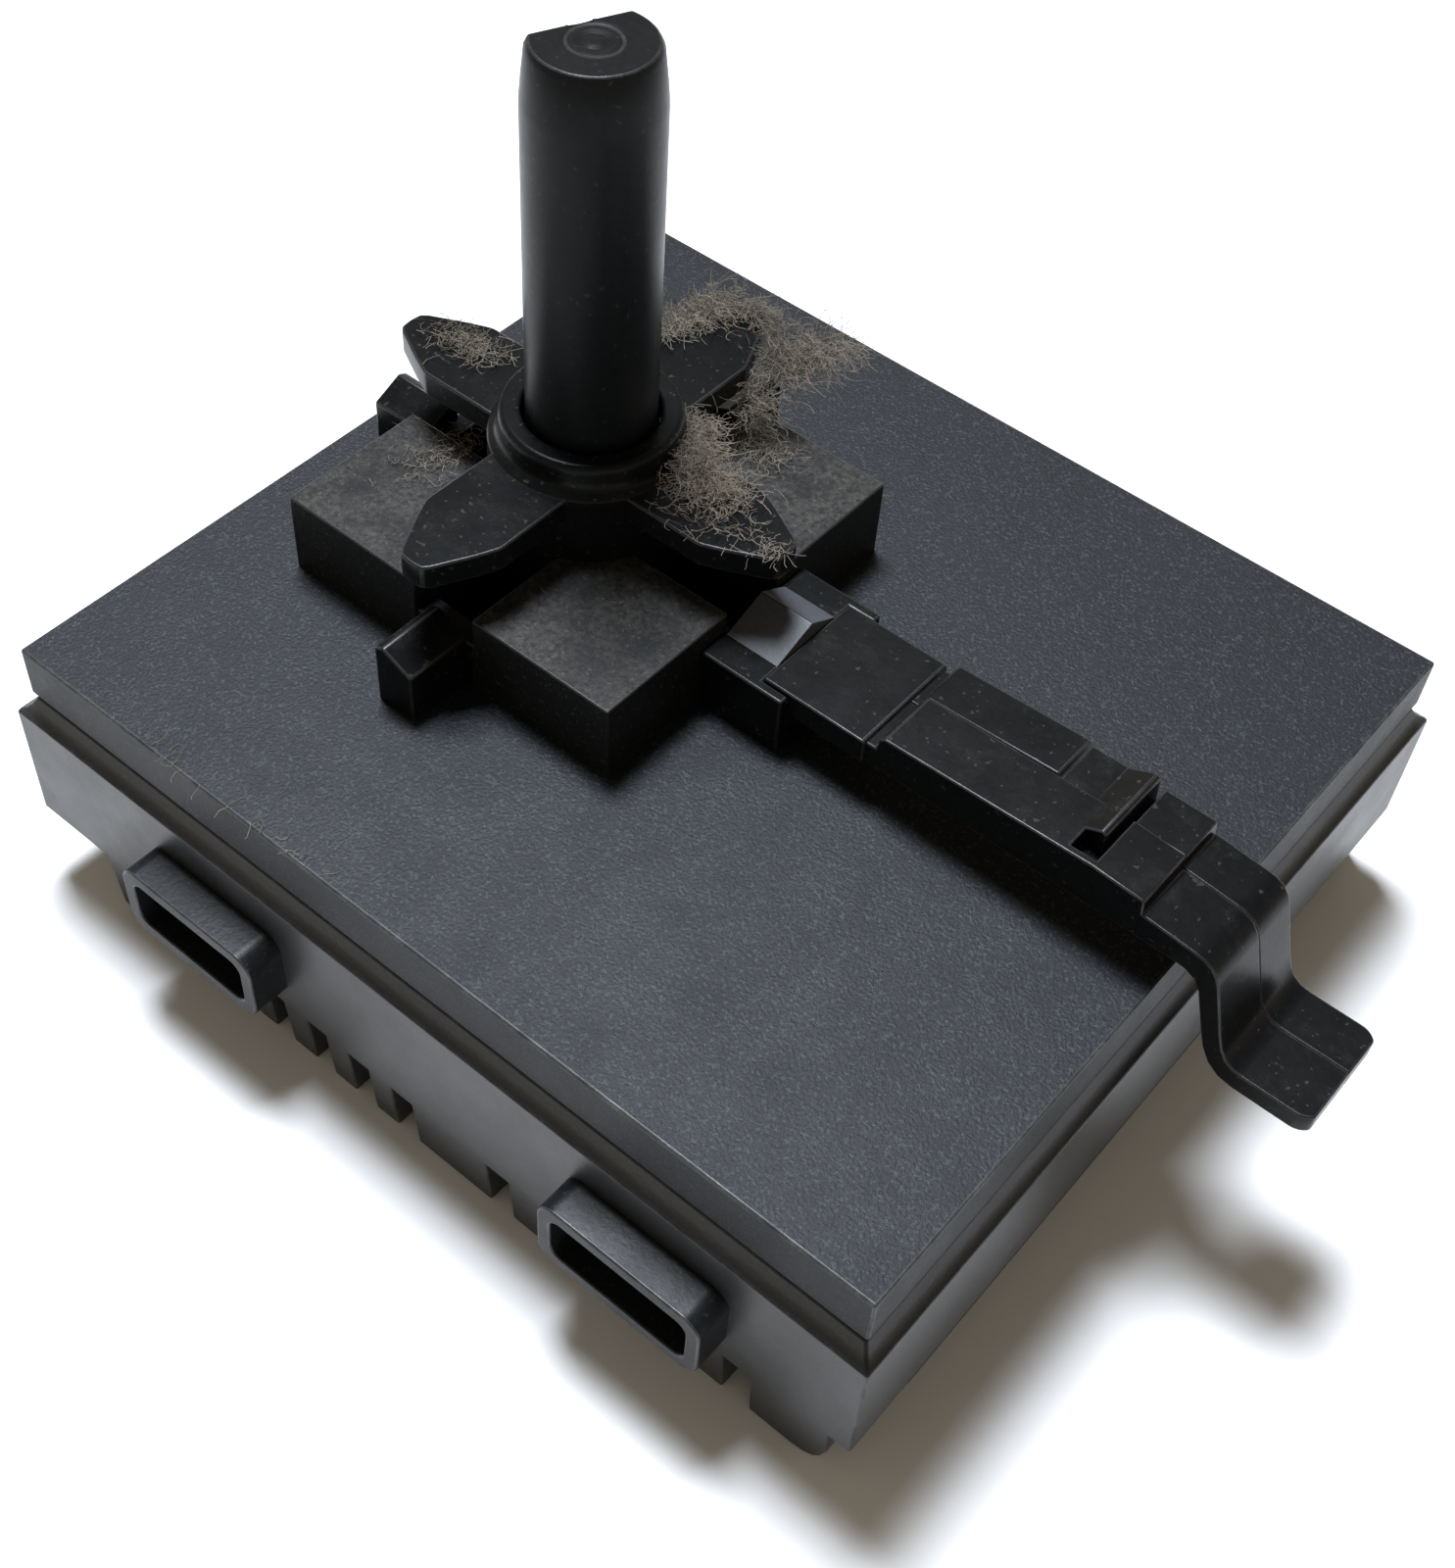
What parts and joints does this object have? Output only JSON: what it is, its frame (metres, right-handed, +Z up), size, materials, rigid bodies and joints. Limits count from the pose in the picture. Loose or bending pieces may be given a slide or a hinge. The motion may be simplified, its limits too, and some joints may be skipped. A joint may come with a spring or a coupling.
{
  "type": "rotary selector switch",
  "caption": "Flat box rotary selector switch with a D-shaft, quarter-turn bayonet boss, seating pads, side sockets and a sprung latch arm.",
  "frame": {"origin": "on the shaft axis, in the plane the switch rests on (underside of the lower bearing boss)", "axes": "+Z up along the shaft towards its tip; +X along the long side towards the latch arm's finger tab; -Y is the wall with the side sockets"},
  "size_m": [0.0582, 0.0475, 0.043],
  "materials": {
    "cover_plastic": "fine spark texture, worn edges",
    "base_plastic": "satin moulded walls",
    "arm_plastic": "satin",
    "shaft_plastic": "smooth",
    "carrier_plastic": "natural moulded",
    "nylon": "natural moulded",
    "laminate": "paper laminate",
    "header_plastic": "moulded",
    "contact_brass": "plain",
    "pin_tin": "tinned",
    "spring_steel": "drawn",
    "ceramic": "fired"
  },
  "bodies": {
    "housing": {"top_cover": "cover_plastic", "base_shell": "base_plastic", "circuit_board": "laminate", "front_header": "header_plastic", "side_header": "header_plastic", "thrust_washer": "nylon", "detent_spring": "spring_steel", "track_inner": "contact_brass", "track_outer": "contact_brass", "front_pin_1": "pin_tin", "front_pin_2": "pin_tin", "front_pin_3": "pin_tin", "front_pin_4": "pin_tin", "front_pin_5": "pin_tin", "side_pin_01": "pin_tin", "side_pin_02": "pin_tin", "side_pin_03": "pin_tin", "side_pin_04": "pin_tin", "side_pin_05": "pin_tin", "side_pin_06": "pin_tin", "side_pin_07": "pin_tin", "side_pin_08": "pin_tin", "side_pin_09": "pin_tin", "side_pin_10": "pin_tin", "chip_resistor_1": "ceramic", "chip_resistor_2": "ceramic", "chip_resistor_3": "ceramic", "chip_resistor_4": "ceramic"},
    "selector": {"selector_shaft": "shaft_plastic", "wiper_carrier": "carrier_plastic", "retaining_ring": "spring_steel", "wiper_leaf_1": "contact_brass", "wiper_leaf_2": "contact_brass", "wiper_leaf_3": "contact_brass", "wiper_leaf_4": "contact_brass"},
    "latch": {"latch_arm": "arm_plastic"},
    "detent": {"detent_plunger": "nylon"}
  },
  "joints": [
    {"name": "selector_turn", "type": "hinge", "parent": "housing", "child": "selector", "pos_m": [0, 0, 0.02], "axis": [0, 0, 1], "continuous": true},
    {"name": "latch_bend", "type": "hinge", "parent": "housing", "child": "latch", "pos_m": [0.0146, 0, 0.01805], "axis": [0, 1, 0], "range_deg": [0, 4.5], "stiffness_Nm_per_rad": 1.5},
    {"name": "detent_press", "type": "slide", "parent": "housing", "child": "detent", "axis": [0, 0, -1], "range_m": [0, 0.0006], "stiffness_N_per_m": 800, "deforming": ["detent_spring"]}
  ]
}
